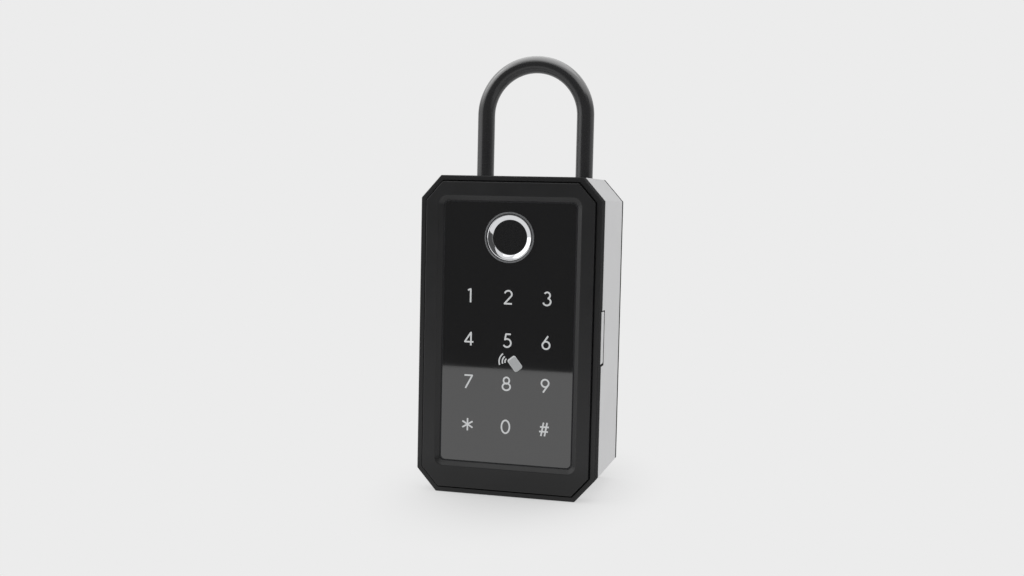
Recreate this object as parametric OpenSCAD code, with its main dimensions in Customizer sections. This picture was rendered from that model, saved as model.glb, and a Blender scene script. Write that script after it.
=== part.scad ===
// Key lockbox: an octagonal case tube with a lift-out shackle and a hinged keypad door.
// Millimetres, +Z up, the door faces -Y, the origin lies under the middle of the case.

/* [Case] */
// Width of the case across its flat sides
case_w = 73; // [70:0.5:84]
// Height of the case without the shackle
case_h = 127; // [124:0.5:140]
// Corner cut, along the width
corner_x = 8; // [6:0.5:9]
// Corner cut, along the height
corner_z = 9; // [7:0.5:10]
// Wall of the case tube
wall = 2.4; // [2.2:0.1:2.8]
// Depth of the case tube
tube_depth = 39; // [37:0.5:50]
// Thickness of the back plate
back_t = 2.5; // [2.2:0.1:4]
// Gap between the door rim and the case tube
parting_gap = 0.5; // [0.4:0.05:0.7]

/* [Door] */
// Depth of the door rim
rim_depth = 7; // [6.8:0.1:8]
// Width of the rim's frame
frame_w = 5.4; // [5.2:0.1:5.8]
// Step from the rim's edge in to the front plate
plate_inset = 2.4; // [1.2:0.1:2.6]
// How far the front plate stands out of the rim
plate_proud = 1.2; // [1:0.1:1.5]
// Width of the shadow groove round the front plate
groove_w = 0.4; // [0.35:0.05:0.8]
// Depth of the shadow groove
groove_depth = 0.9; // [0.6:0.1:1.2]
// Chamfer round the front edges
edge_cut = 0.25; // [0.2:0.05:0.5]
// Recess margin at the sides
recess_side = 7.6; // [7.2:0.1:9]
// Recess margin at the top
recess_top = 8; // [7.8:0.1:10]
// Recess margin at the bottom
recess_bottom = 11; // [10:0.1:13]
// Width of the recess's sloping wall
bevel = 1.9; // [1.6:0.1:2.4]
// Depth of the glass under the front plate
recess_depth = 1.6; // [1.4:0.1:2]
// Corner radius of the recess
recess_r = 3.6; // [3:0.1:5]
// Thickness of the glass panel
glass_t = 1.5; // [1.2:0.1:1.8]
// Overlap of the glass behind the recess lip
glass_lap = 1; // [0.6:0.1:1.2]
// Thickness of the keypad board
board_t = 1; // [0.8:0.1:1.2]

/* [Fingerprint reader] */
// Distance from the case's top down to the reader's centre
reader_top = 24; // [22:0.5:28]
// Outer diameter of the reader's ring
ring_d = 20; // [18:0.5:21]
// Outer diameter of the polished cone
cone_d = 18.4; // [17:0.2:18.8]
// Diameter of the sensor disc
sensor_d = 13.8; // [12:0.2:15]

/* [Hinge and pull tab] */
// Hinge axis in from the side and from the rim's rear face
pin_in = 2.4; // [2.2:0.05:2.5]
// Diameter of the hinge pin
pin_d = 2; // [1.6:0.1:2.2]
// Length of the hinge pin
pin_len = 41; // [36:1:50]
// Height of the lips' centre
lip_z = 64.4; // [60:0.2:68]
// Height of the lips
lip_h = 20.6; // [16:0.2:24]
// How far the lips stand out of the sides
lip_proud = 0.2; // [0.15:0.05:0.4]
// Reach of the lips behind the parting line
lip_reach = 3.8; // [3:0.1:4.4]
// Thickness of the pull tab
tab_t = 1.2; // [1.1:0.05:1.5]
// How far the pull tab stands out of the side
tab_proud = 0.05; // [0.05:0.05:0.3]
// Finger slot behind the pull tab
tab_slot = 1.5; // [0.6:0.1:1.8]
// Corner radius of the pull tab's rear edge
tab_corner = 0.8; // [0.4:0.1:1.2]

/* [Shackle] */
// Diameter of the shackle bar
leg_d = 7.2; // [6:0.2:8]
// Distance from the case's side to a leg's centre
leg_side = 15.15; // [14.9:0.05:16.5]
// Rise of the shackle above the case
shackle_rise = 51; // [44:0.5:64]
// Distance from the shackle's plane to the back face
shackle_back = 10; // [9:0.2:11]
// Length of leg inside the case
leg_in = 21; // [19:0.5:24]
// Travel of the release slider
slider_travel = 3; // [2.6:0.1:3.2]

/* [Wall holes] */
// Diameter of the wall screw holes
wall_hole_d = 4.5; // [3.5:0.1:5.5]
// Distance between the holes across the width
wall_hole_w = 32; // [26:0.5:36]
// Distance between the holes along the height
wall_hole_h = 54; // [44:0.5:60]
// Height of the hole pattern's centre
wall_hole_z = 57; // [50:0.5:58]

/* [Door module] */
// Reach of the inner cover behind the rim
cover_depth = 11.9; // [11.6:0.1:13]
// Wall of the inner cover
cover_wall = 1.6; // [1.4:0.1:1.8]
// Distance from the case's side to the inner cover's box
cover_side = 8; // [7.8:0.1:8.2]
// Distance from the case's top down to the inner cover's box
cover_top = 12; // [11.5:0.5:13]
// Diameter of a battery cell
cell_d = 10.5; // [10:0.1:10.6]
// Length of a battery cell
cell_len = 44.5; // [43:0.1:45]
// Distance between cells
cell_pitch = 10.9; // [10.8:0.05:11]
// Wall of the battery holder
holder_wall = 1.2; // [1:0.1:1.4]

/* [Lock] */
// Module of the rack and pinion
gear_module = 0.6; // [0.5:0.05:0.65]
// Teeth of the pinion
pinion_teeth = 12; // [12:1:13]
// Pressure angle of the teeth
pressure_angle = 25; // [20:1:28]
// Height of the bolt
bolt_h = 8; // [7:0.1:9]
// Thickness of the bolt
bolt_t = 3.6; // [3:0.1:3.8]
// Travel of the bolt
bolt_travel = 5; // [4:0.1:5]
// Distance of the pinion's axis from the middle
motor_x = 10; // [8:0.5:10]
// Width of the gear motor
motor_w = 12; // [10:0.5:12]
// Depth of the gear motor
motor_d = 10; // [8:0.5:10]
// Length of the gearbox
gearbox_len = 9; // [8:0.5:12]
// Length of the motor can
can_len = 11; // [9:0.5:11]
// Diameter of the motor shaft
shaft_d = 3; // [2.5:0.1:3]

/* [Hidden] */
$fn = 64;

// Fits: assembled pieces, sliding pieces, and how far cutters run past a face
fit = 0.1;
slide_gap = 0.3;
past = 1;

// Case outline and the layers from front to back
half_w = case_w / 2;
half_h = case_h / 2;
corner_len = norm([corner_x, corner_z]);
corner_nx = corner_z / corner_len;
corner_nz = corner_x / corner_len;
depth = plate_proud + rim_depth + parting_gap + tube_depth + back_t;
y_front = -depth / 2;
y_rim = y_front + plate_proud;
y_part = y_rim + rim_depth;
y_tube = y_part + parting_gap;
y_inner = y_tube + tube_depth;
y_back = y_inner + back_t;
y_glass = y_front + recess_depth;
y_board = y_glass + glass_t;
tub_reach = 0.6;
y_tub = y_board + board_t + tub_reach;

// Recess, glass and the pocket behind the recess lip
recess_half = half_w - recess_side;
glass_half = recess_half - bevel + glass_lap;
glass_z0 = recess_bottom + bevel - glass_lap;
glass_z1 = case_h - recess_top - bevel + glass_lap;
glass_r = recess_r - bevel + glass_lap;
pocket_gap = 0.2;
tub_inset = frame_w + 2 * fit;
board_edge = 0.8;

// Fingerprint reader's ring
reader_z = case_h - reader_top;
ring_r = ring_d / 2;
cone_r = cone_d / 2;
sensor_r = sensor_d / 2;
ring_lap = 0.7;
ring_body_r = ring_r - ring_lap;
ring_proud = 0.5;
ring_rim = 0.15;
cone_depth = 0.7;

// Hinge and lips
hinge_x = -half_w + pin_in;
hinge_y = y_part - pin_in;
knuckle_r = pin_in + lip_proud;
knuckle_gap = 0.35;
web_step = 0.1;
lip_z0 = lip_z - lip_h / 2;
lip_low_gap = 1;
pin_fit = 0.03;
pin_z0 = lip_z - pin_len / 2;
tab_root = 1.3;
tab_hold = 4;
tab_end = 2;

// Shackle, its guide and the release slider
leg_r = leg_d / 2;
leg_x = half_w - leg_side;
leg_z0 = case_h - leg_in;
y_shackle = y_back - shackle_back;
arch_z = case_h + shackle_rise - leg_r - leg_x;
leg_tip = 0.8;
guide_wall = 1.8;
guide_floor = 2;
guide_half = leg_x + leg_r + guide_wall;
guide_z0 = leg_z0 - slide_gap - guide_floor;
guide_z1 = case_h - wall;
guide_y0 = y_shackle - leg_r - slide_gap - guide_wall;
seal_r = leg_r + 1.9;
seal_t = 1.5;
seal_gap = 0.25;
notch_z = leg_z0 + 3;
notch_h = 4.6;
slider_gap = 0.5;
notch_deep = slider_travel - slider_gap + slide_gap;
slider_x1 = leg_x - leg_r - slider_gap;
slider_len = 13;
slider_y1 = y_shackle + leg_r / 2;
thumb_w = 5;
thumb_reach = 4;
thumb_h = 8;

// Screws: wood-style countersunk on the back, small pan heads elsewhere
csk_r = 1.45;
csk_head_r = 2.9;
csk_head_h = 1.6;
csk_slot = [3.4, 0.7, 1];
back_boss_r = 3.2;
boss_sink = 0.25;
back_boss_x = half_w - wall - back_boss_r + boss_sink;
back_boss_len = 12;
back_screw_low = 22;
back_screw_top = 29;
back_screw_high = case_h - back_screw_top;
screw_bite = 9;
guide_screw_x = 9;
guide_screw_z = notch_z + notch_h + 3.5;
pan_r = 1;
pan_head_r = 1.8;
pan_head_h = 1.2;
pan_slot = [2.2, 0.5, 0.6];
cover_screw_x = 20;
cover_screw_low = (tub_inset + glass_z0) / 2;
cover_screw_high = (case_h - tub_inset + glass_z1) / 2;
tub_bite = 2.2;

// Key hooks on the back plate
hook_x = 9;
hook_z = guide_z0 - 11;
hook_r = 1.6;
hook_reach = 9;
hook_rise = 5;
hook_base_r = 4;
hook_base_t = 1.2;

// Inner cover, battery bay and lock bay
flange_t = 1.5;
flange_inset = wall + 1;
seal_w = 0.6;
door_seal_t = 1;
cover_half = half_w - cover_side;
y_cover = y_part + cover_depth;
y_cover_in = y_cover - cover_wall;
cover_z0 = glass_z0 + 0.1;
cover_z1 = case_h - cover_top;
cover_r = 3;
cell_count = 4;
cell_room = 0.15;
holder_floor = 1;
contact_room = 0.7;
contact_t = 0.4;
cell_back_gap = 0.75;
y_cell = y_cover_in - cell_back_gap - cell_d / 2;
holder_y0 = y_cell - cell_d / 2 - cell_room - holder_floor;
bay_half = cell_count * cell_pitch / 2 + fit;
holder_z0 = cover_z0 + cover_wall + slide_gap;
bay_z0 = holder_z0 + holder_wall;
bay_z1 = bay_z0 + cell_len + 2 * contact_room;
holder_z1 = bay_z1 + holder_wall;
window_lip = 0.3;
lid_t = 1.2;
lid_lap = 1.8;
lid_screw_x = 12;
lid_boss_r = 2.2;
lid_boss_len = 5.4;
lid_screw_z = holder_z1 + slide_gap + lid_boss_r;
lid_z1 = lid_screw_z + lid_boss_r;

// Lock: frame plate and rails, bolt with rack, pinion and motor
frame_plate = 0.8;
rail_h = 2;
rail_gap = 0.2;
lock_z0 = lid_z1 + slide_gap;
bolt_z0 = lock_z0 + rail_h + rail_gap;
bolt_z1 = bolt_z0 + bolt_h;
bolt_z = (bolt_z0 + bolt_z1) / 2;
y_bolt1 = y_cover_in - frame_plate - rail_gap;
y_bolt0 = y_bolt1 - bolt_t;
rack_pitch = PI * gear_module;
addendum = gear_module;
dedendum = 1.25 * gear_module;
tooth_slack = 0.05;
centre_slack = 0.05;
pinion_r = gear_module * pinion_teeth / 2;
base_r = pinion_r * cos(pressure_angle);
motor_y = y_bolt0 - dedendum - pinion_r - centre_slack;
rack_low = -5;
rack_high = 1;
bolt_x0 = motor_x + rack_low * rack_pitch;
bolt_tip = 0.2;
bolt_x1 = cover_half + bolt_tip;
bolt_nose = 1;
lock_x0 = bolt_x0 - 2;
lock_x1 = cover_half - cover_wall;
keeper_w = 4.4;
keeper_t = 1.3;
upper_rail_h = 1.4;
motor_z0 = bolt_z1 + rail_gap + upper_rail_h + slide_gap;
motor_z1 = motor_z0 + gearbox_len + can_len;
cradle_t = 1.2;
cradle_rib = 2.4;
cap_len = 1;
pinion_face = bolt_h - 1.2;
shaft_in = 6;
shaft_gap = 0.05;

// Strike bar on the case's right wall: the thrown bolt lies behind it
sweep_gap = 0.5;
cover_corner_r = norm([cover_half - hinge_x, y_cover - hinge_y]);
strike_x0 = hinge_x + cover_corner_r + sweep_gap;
strike_x1 = half_w - wall;
strike_y0 = y_part + flange_t + slide_gap;
strike_y1 = y_bolt0 - slide_gap;
strike_lead = 0.6;
strike_low = 2;
strike_high = 13;
strike_bite = 1.4;
strike_head_r = 1.5;
strike_screw_low = 3;
strike_screw_high = 10;

// Main board with its standoffs, the buzzer and the reset button
main_t = 1.2;
main_x0 = -cover_half + cover_wall + 0.9;
main_x1 = lock_x0 - 1;
main_z0 = lock_z0;
main_z1 = cover_z1 - cover_wall - 1.4;
standoff = 5.2;
standoff_r = 2;
standoff_in = 2.5;
y_main1 = y_cover_in - standoff;
y_main0 = y_main1 - main_t;
buzzer_r = 4.75;
buzzer_t = 3.5;
buzzer_hole = 1;
buzzer_z = main_z1 - standoff_in - standoff_r - buzzer_r - 2;
button_r = 2;
button_flange_r = 3;
button_flange_t = 0.8;
button_proud = 0.8;
button_travel = 0.8;
button_x = (main_x0 + main_x1) / 2;
button_z = (main_z0 + main_z1) / 2 - 4;
chip_w = 7;
chip_t = 1.1;
chip_edge = 5;
switch_t = 1.3;
switch_w = 4;
button_end = y_main1 + switch_t + button_travel + 0.2;

// Emergency power socket in the door's bottom edge
usb_w = 9;
usb_t = 3.2;
usb_z0 = 0.6;
usb_z1 = 8;
usb_shell = 0.35;
usb_mouth = 5.5;
usb_tongue_w = 6.7;
usb_tongue_t = 0.7;
y_usb = (y_rim + y_part) / 2 + 0.4;

// Case outline drawn in from its edge: half length of the top edge and half height of the side
function corner_line(inset) = corner_nx * (half_w - corner_x) + corner_nz * half_h - inset;
function top_half(inset) = (corner_line(inset) - corner_nz * (half_h - inset)) / corner_nx;
function side_half(inset) = (corner_line(inset) - corner_nx * (half_w - inset)) / corner_nz;

module octagon(inset) {
    w = half_w - inset;
    h = half_h - inset;
    x = top_half(inset);
    z = side_half(inset);
    translate([0, half_h])
        polygon([[-x, -h], [x, -h], [w, -z], [w, z], [x, h], [-x, h], [-w, z], [-w, -z]]);
}

module rounded(half, z0, z1, r) {
    translate([-half + r, z0])
        square([2 * (half - r), z1 - z0]);
    translate([-half, z0 + r])
        square([2 * half, z1 - z0 - 2 * r]);
    for (x = [-half + r, half - r], z = [z0 + r, z1 - r])
        translate([x, z])
            circle(r);
}

// A drawing in X and Z, given depth from y0 back to y1
module slab(y0, y1) {
    translate([0, y1, 0])
        rotate([90, 0, 0])
            linear_extrude(y1 - y0)
                children();
}

module block(x0, x1, y0, y1, z0, z1) {
    translate([x0, y0, z0])
        cube([x1 - x0, y1 - y0, z1 - z0]);
}

module rod_y(x, z, y0, y1, r) {
    translate([x, y0, z])
        rotate([-90, 0, 0])
            cylinder(r = r, h = y1 - y0);
}

module rod_z(x, y, z0, z1, r) {
    translate([x, y, z0])
        cylinder(r = r, h = z1 - z0);
}

// Countersunk screw, driven from the back, with a cross slot; gap widens it into its own hole
module csk_screw(x, z, y_tip, gap = 0) {
    rod_y(x, z, y_tip - gap, y_back + gap, csk_r + gap);
    translate([x, y_back, z])
        rotate([90, 0, 0])
            cylinder(r1 = csk_head_r + gap, r2 = csk_r + gap, h = csk_head_h);
}

// Cross slot in a screw head that faces along Y; size is its length, width and depth
module cross_slot(x, z, y, size) {
    for (turn = [0, 90])
        translate([x, y, z])
            rotate([0, turn, 0])
                cube([size[0], 2 * size[2], size[1]], center = true);
}

// Pan-head screw along Y, its head on the +Y side of y_seat; gap widens it into its own hole
module pan_screw(x, z, y_tip, y_seat, gap = 0) {
    rod_y(x, z, y_tip - gap, y_seat + gap, pan_r + gap);
    if (gap == 0)
        difference() {
            rod_y(x, z, y_seat, y_seat + pan_head_h, pan_head_r);
            cross_slot(x, z, y_seat + pan_head_h, pan_slot);
        }
}

module at_back_screws() {
    for (x = [-back_boss_x, back_boss_x], z = [back_screw_low, back_screw_high])
        translate([x, 0, z])
            children();
}

module at_guide_screws() {
    for (x = [-guide_screw_x, guide_screw_x])
        translate([x, 0, guide_screw_z])
            children();
}

module at_cover_screws() {
    for (x = [-cover_screw_x, cover_screw_x], z = [cover_screw_low, cover_screw_high])
        translate([x, 0, z])
            children();
}

module at_lid_screws() {
    for (x = [-lid_screw_x, lid_screw_x])
        translate([x, 0, lid_screw_z])
            children();
}

module at_standoffs() {
    for (x = [main_x0 + standoff_in, main_x1 - standoff_in],
            z = [main_z0 + standoff_in, main_z1 - standoff_in])
        translate([x, 0, z])
            children();
}

module at_strike_screws() {
    for (rise = [strike_screw_low, strike_screw_high])
        translate([0, (strike_y0 + strike_y1) / 2, bolt_z1 + rise])
            children();
}

// Room round the hinge knuckle, over the height of the lug
module knuckle_room() {
    z0 = lip_z0 - lip_low_gap;
    z1 = lip_z0 + lip_h + knuckle_gap;
    rod_z(hinge_x, hinge_y, z0, z1, knuckle_r + knuckle_gap);
    block(-half_w - past, hinge_x, hinge_y - knuckle_r - knuckle_gap, y_part + past, z0, z1);
}

module hinge_lug() {
    rod_z(hinge_x, hinge_y, lip_z0, lip_z0 + lip_h, knuckle_r);
    block(-half_w - lip_proud + web_step, -half_w + min(pin_in, wall), hinge_y, y_part + lip_reach,
        lip_z0, lip_z0 + lip_h);
}

module housing_shell() {
    color("silver")
        difference() {
            union() {
                difference() {
                    slab(y_tube, y_inner)
                        octagon(0);
                    slab(y_tube - past, y_inner + past)
                        octagon(wall);
                }
                at_back_screws()
                    rod_y(0, 0, y_inner - back_boss_len, y_inner, back_boss_r);
                hinge_lug();
            }
            at_back_screws()
                rod_y(0, 0, y_inner - screw_bite - fit, y_inner + past, csk_r + fit);
            for (x = [-leg_x, leg_x]) {
                rod_z(x, y_shackle, guide_z1 - past, case_h + past, leg_r + slide_gap);
                rod_z(x, y_shackle, case_h - seal_t, case_h + past, seal_r);
            }
            rod_z(hinge_x, hinge_y, lip_z0 - past, lip_z0 + lip_h + past, pin_d / 2 + pin_fit);
            block(half_w + tab_proud - tab_t - slide_gap, half_w + past, y_tube - past,
                y_part + lip_reach + tab_slot, lip_z0 - lip_low_gap, lip_z0 + lip_h + slide_gap);
            at_strike_screws()
                rotate([0, 90, 0])
                    cylinder(r = pan_r + fit, h = strike_x1 + strike_bite + fit);
        }
}

module back_plate() {
    color([0.1, 0.1, 0.1])
        difference() {
            slab(y_inner, y_back)
                octagon(0);
            for (x = [-1, 1], z = [-1, 1])
                translate([x * wall_hole_w / 2, 0, wall_hole_z + z * wall_hole_h / 2]) {
                    rod_y(0, 0, y_inner - past, y_back + past, wall_hole_d / 2);
                    translate([0, y_inner, 0])
                        rotate([-90, 0, 0])
                            cylinder(r1 = wall_hole_d / 2 + 1, r2 = wall_hole_d / 2, h = 1);
                }
            at_back_screws()
                csk_screw(0, 0, y_inner - past, fit);
            at_guide_screws()
                csk_screw(0, 0, y_inner - past, fit);
        }
}

module back_screws() {
    color("dimgray")
        at_back_screws()
            difference() {
                csk_screw(0, 0, y_inner - screw_bite);
                cross_slot(0, 0, y_back, csk_slot);
            }
}

module guide_screws() {
    color("dimgray")
        at_guide_screws()
            difference() {
                csk_screw(0, 0, y_inner - screw_bite);
                cross_slot(0, 0, y_back, csk_slot);
            }
}

module shackle_guide() {
    color([0.16, 0.16, 0.17])
        difference() {
            block(-guide_half, guide_half, guide_y0, y_inner, guide_z0, guide_z1);
            for (x = [-leg_x, leg_x])
                rod_z(x, y_shackle, leg_z0 - slide_gap, guide_z1 + past, leg_r + slide_gap);
            block(slider_x1 - slider_len - slide_gap, leg_x, guide_y0 - past, slider_y1 + slide_gap,
                notch_z, notch_z + notch_h);
            at_guide_screws()
                rod_y(0, 0, y_inner - screw_bite - fit, y_inner + past, csk_r + fit);
        }
}

module shackle_seals() {
    color([0.06, 0.06, 0.06])
        for (x = [-leg_x, leg_x])
            difference() {
                rod_z(x, y_shackle, case_h - seal_t, case_h, seal_r);
                rod_z(x, y_shackle, case_h - seal_t - past, case_h + past, leg_r + seal_gap);
            }
}

module key_hooks() {
    color("silver")
        for (x = [-hook_x, hook_x]) {
            rod_y(x, hook_z, y_inner - hook_base_t, y_inner, hook_base_r);
            rod_y(x, hook_z, y_inner - hook_reach, y_inner - hook_base_t, hook_r);
            rod_z(x, y_inner - hook_reach, hook_z, hook_z + hook_rise, hook_r);
            for (z = [hook_z, hook_z + hook_rise])
                translate([x, y_inner - hook_reach, z])
                    sphere(hook_r);
        }
}

module strike_bar() {
    color("lightgray")
        difference() {
            translate([0, 0, bolt_z0 - strike_low])
                linear_extrude(strike_low + bolt_h + strike_high)
                    polygon([[strike_x0, strike_y0], [strike_x1, strike_y0], [strike_x1, strike_y1],
                        [strike_x0 + strike_lead, strike_y1], [strike_x0, strike_y1 - strike_lead]]);
            at_strike_screws()
                rotate([0, 90, 0]) {
                    cylinder(r = pan_r + fit, h = strike_x1 + past);
                    cylinder(r = strike_head_r + fit, h = strike_x0 + pan_head_h);
                }
        }
}

module strike_screws() {
    color("dimgray")
        at_strike_screws()
            difference() {
                translate([strike_x0, 0, 0])
                    rotate([0, 90, 0]) {
                        cylinder(r = pan_r, h = strike_x1 - strike_x0 + strike_bite);
                        cylinder(r = strike_head_r, h = pan_head_h);
                    }
                translate([strike_x0, 0, 0])
                    rotate([0, 0, 90])
                        cross_slot(0, 0, 0, pan_slot);
            }
}

module hinge_pin() {
    color("gray")
        rod_z(hinge_x, hinge_y, pin_z0, pin_z0 + pin_len, pin_d / 2);
}

module front_edge(inset, y0, y1) {
    hull() {
        slab(y0, y0 + 0.01)
            octagon(inset + edge_cut);
        slab(y0 + edge_cut, y1)
            octagon(inset);
    }
}

module tab_seat(gap) {
    block(half_w + tab_proud - tab_t - gap, half_w + tab_proud, y_part - tab_root - gap, y_part,
        lip_z0 - gap, lip_z0 + lip_h + gap);
    block(half_w - tab_hold - gap, half_w, y_part - tab_root - gap, y_part,
        lip_z0 + tab_end - gap, lip_z0 + lip_h - tab_end + gap);
}

module usb_room() {
    block(-usb_w / 2 - fit, usb_w / 2 + fit, y_usb - usb_t / 2 - fit, y_usb + usb_t / 2 + fit,
        -past, usb_z1 + fit);
}

module door_rim() {
    color([0.11, 0.11, 0.12])
        difference() {
            front_edge(0, y_rim, y_part);
            slab(y_rim - past, y_part + past)
                octagon(frame_w);
            slab(y_rim - past, y_rim + groove_depth)
                octagon(plate_inset - groove_w);
            knuckle_room();
            rod_z(hinge_x, hinge_y, -past, pin_z0 + pin_len + slide_gap, pin_d / 2 + pin_fit);
            difference() {
                block(-half_w - past, hinge_x, hinge_y, y_part + past, -past, case_h + past);
                rod_z(hinge_x, hinge_y, -2 * past, case_h + 2 * past, pin_in);
            }
            tab_seat(fit);
            translate([half_w - past, y_part - tab_root - fit, lip_z0 - lip_low_gap])
                cube([2 * past, tab_root + past, lip_low_gap + past]);
            usb_room();
        }
}

module front_plate() {
    color([0.12, 0.12, 0.13])
        difference() {
            union() {
                front_edge(plate_inset, y_front, y_rim + groove_depth);
                slab(y_rim + groove_depth, y_tub)
                    octagon(tub_inset);
            }
            hull() {
                slab(y_front - 0.02, y_front)
                    rounded(recess_half, recess_bottom, case_h - recess_top, recess_r);
                slab(y_glass, y_glass + 0.02)
                    rounded(recess_half - bevel, recess_bottom + bevel, case_h - recess_top - bevel,
                        recess_r - bevel);
            }
            slab(y_glass, y_tub + past)
                rounded(glass_half + pocket_gap, glass_z0 - pocket_gap, glass_z1 + pocket_gap, glass_r);
            at_cover_screws()
                rod_y(0, 0, y_tub - tub_bite - fit, y_tub + past, pan_r + fit);
            usb_room();
        }
}

module glass_panel() {
    color([0.05, 0.05, 0.06])
        difference() {
            slab(y_glass, y_board)
                rounded(glass_half, glass_z0, glass_z1, glass_r);
            rod_y(0, reader_z, y_glass - past, y_board + past, ring_body_r + fit);
        }
}

module sensor_ring() {
    rear = y_board + board_t;
    color("gainsboro")
        translate([0, rear, reader_z])
            rotate([90, 0, 0])
                rotate_extrude()
                    polygon([[sensor_r, 0], [sensor_r, rear - y_glass - cone_depth],
                        [cone_r, rear - y_glass + ring_proud],
                        [ring_r - ring_rim, rear - y_glass + ring_proud],
                        [ring_r, rear - y_glass + ring_proud - ring_rim], [ring_r, rear - y_glass],
                        [ring_body_r, rear - y_glass], [ring_body_r, 0]]);
}

module fingerprint_sensor() {
    y0 = y_glass + cone_depth + fit;
    soft = 0.3;
    color([0.03, 0.03, 0.03])
        union() {
            rod_y(0, reader_z, y0 + soft, y_board + board_t + fit, sensor_r - fit);
            translate([0, y0, reader_z])
                rotate([-90, 0, 0])
                    cylinder(r1 = sensor_r - fit - soft, r2 = sensor_r - fit, h = soft);
        }
}

module keypad_board() {
    color([0.05, 0.2, 0.1])
        difference() {
            slab(y_board, y_board + board_t)
                rounded(glass_half - board_edge, glass_z0 + board_edge, glass_z1 - board_edge, glass_r);
            rod_y(0, reader_z, y_board - past, y_board + board_t + past, ring_body_r + fit);
        }
}

module door_seal() {
    color([0.06, 0.06, 0.06])
        difference() {
            slab(y_part, y_part + door_seal_t)
                octagon(flange_inset - seal_w);
            slab(y_part - past, y_part + door_seal_t + past)
                octagon(flange_inset);
            knuckle_room();
        }
}

module inner_cover() {
    color([0.14, 0.14, 0.15])
        difference() {
            union() {
                difference() {
                    union() {
                        slab(y_tub, y_part)
                            octagon(tub_inset);
                        slab(y_part, y_part + flange_t)
                            octagon(flange_inset);
                        slab(y_part, y_cover)
                            rounded(cover_half, cover_z0, cover_z1, cover_r);
                    }
                    slab(y_tub - past, y_part)
                        rounded(glass_half + pocket_gap, glass_z0 - pocket_gap, glass_z1 + pocket_gap,
                            glass_r);
                    slab(y_part - past, y_cover_in)
                        rounded(cover_half - cover_wall, cover_z0 + cover_wall, cover_z1 - cover_wall,
                            cover_r - cover_wall);
                }
                at_standoffs()
                    rod_y(0, 0, y_main1, y_cover_in + cover_wall / 2, standoff_r);
                at_lid_screws()
                    rod_y(0, 0, y_cover_in - lid_boss_len, y_cover_in + cover_wall / 2, lid_boss_r);
            }
            knuckle_room();
            block(-bay_half + window_lip, bay_half - window_lip, y_cover_in - past, y_cover + past,
                bay_z0 + window_lip, bay_z1 - window_lip);
            block(lock_x1 - past, cover_half + past, y_bolt0 - slide_gap, y_bolt1 + rail_gap,
                bolt_z0 - slide_gap, bolt_z1 + slide_gap);
            rod_y(button_x, button_z, y_cover_in - past, y_cover + past, button_r + slide_gap);
            at_cover_screws()
                rod_y(0, 0, y_tub - past, y_cover + past, pan_r + fit);
            at_lid_screws()
                rod_y(0, 0, y_cover_in - lid_boss_len + past, y_cover + past, pan_r + fit);
            at_standoffs()
                rod_y(0, 0, y_main1 - past, y_cover_in, pan_r + fit);
            usb_room();
        }
}

module cover_screws() {
    color("dimgray")
        at_cover_screws()
            pan_screw(0, 0, y_tub - tub_bite, y_part + flange_t);
}

module main_board() {
    color([0.05, 0.25, 0.12])
        difference() {
            union() {
                block(main_x0, main_x1, y_main0, y_main1, main_z0, main_z1);
                block(button_x - switch_w / 2, button_x + switch_w / 2, y_main1, y_main1 + switch_t,
                    button_z - switch_w / 2, button_z + switch_w / 2);
                for (at = [[chip_edge, chip_edge, chip_w],
                        [chip_edge / 2, chip_edge + 2 * chip_w, chip_w / 2]])
                    block(main_x0 + at[0], main_x0 + at[0] + at[2], y_main0 - chip_t, y_main0,
                        main_z0 + at[1], main_z0 + at[1] + at[2]);
            }
            at_standoffs()
                rod_y(0, 0, y_main0 - past, y_main1 + past, pan_r + fit);
        }
}

module board_screws() {
    color("dimgray")
        at_standoffs()
            mirror([0, 1, 0])
                pan_screw(0, 0, -y_cover_in + cover_wall / 2, -y_main0);
}

module buzzer() {
    color([0.08, 0.08, 0.08])
        difference() {
            rod_y(button_x, buzzer_z, y_main0 - buzzer_t, y_main0, buzzer_r);
            rod_y(button_x, buzzer_z, y_main0 - buzzer_t - past, y_main0 - buzzer_t + buzzer_hole,
                buzzer_hole);
        }
}

module battery_holder() {
    color([0.1, 0.1, 0.11])
        difference() {
            block(-bay_half - holder_wall, bay_half + holder_wall, holder_y0, y_cover_in,
                holder_z0, holder_z1);
            block(-bay_half, bay_half, y_cell, y_cover_in + past, bay_z0, bay_z1);
            for (i = [0 : cell_count - 1])
                rod_z(cell_x(i), y_cell, bay_z0, bay_z1, cell_d / 2 + cell_room);
        }
}

function cell_x(i) = (i - (cell_count - 1) / 2) * cell_pitch;

// Cell standing on its flat end; every second one is turned over
module battery(i) {
    nub_r = 1.9;
    nub_h = 0.8;
    rim = 0.5;
    z0 = bay_z0 + contact_room;
    color(i % 2 == 0 ? "goldenrod" : "darkgoldenrod")
        translate([cell_x(i), y_cell, z0 + (i % 2) * cell_len])
            mirror([0, 0, i % 2])
                rotate_extrude()
                    polygon([[0, 0], [cell_d / 2 - rim, 0], [cell_d / 2, rim],
                        [cell_d / 2, cell_len - nub_h - rim], [cell_d / 2 - rim, cell_len - nub_h],
                        [nub_r, cell_len - nub_h], [nub_r, cell_len], [0, cell_len]]);
}

module battery_contacts() {
    half = 3.6;
    color("silver")
        for (i = [0 : cell_count - 1], z = [bay_z0, bay_z1 - contact_t])
            block(cell_x(i) - half, cell_x(i) + half, y_cell - half, y_cell + half, z, z + contact_t);
}

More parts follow.
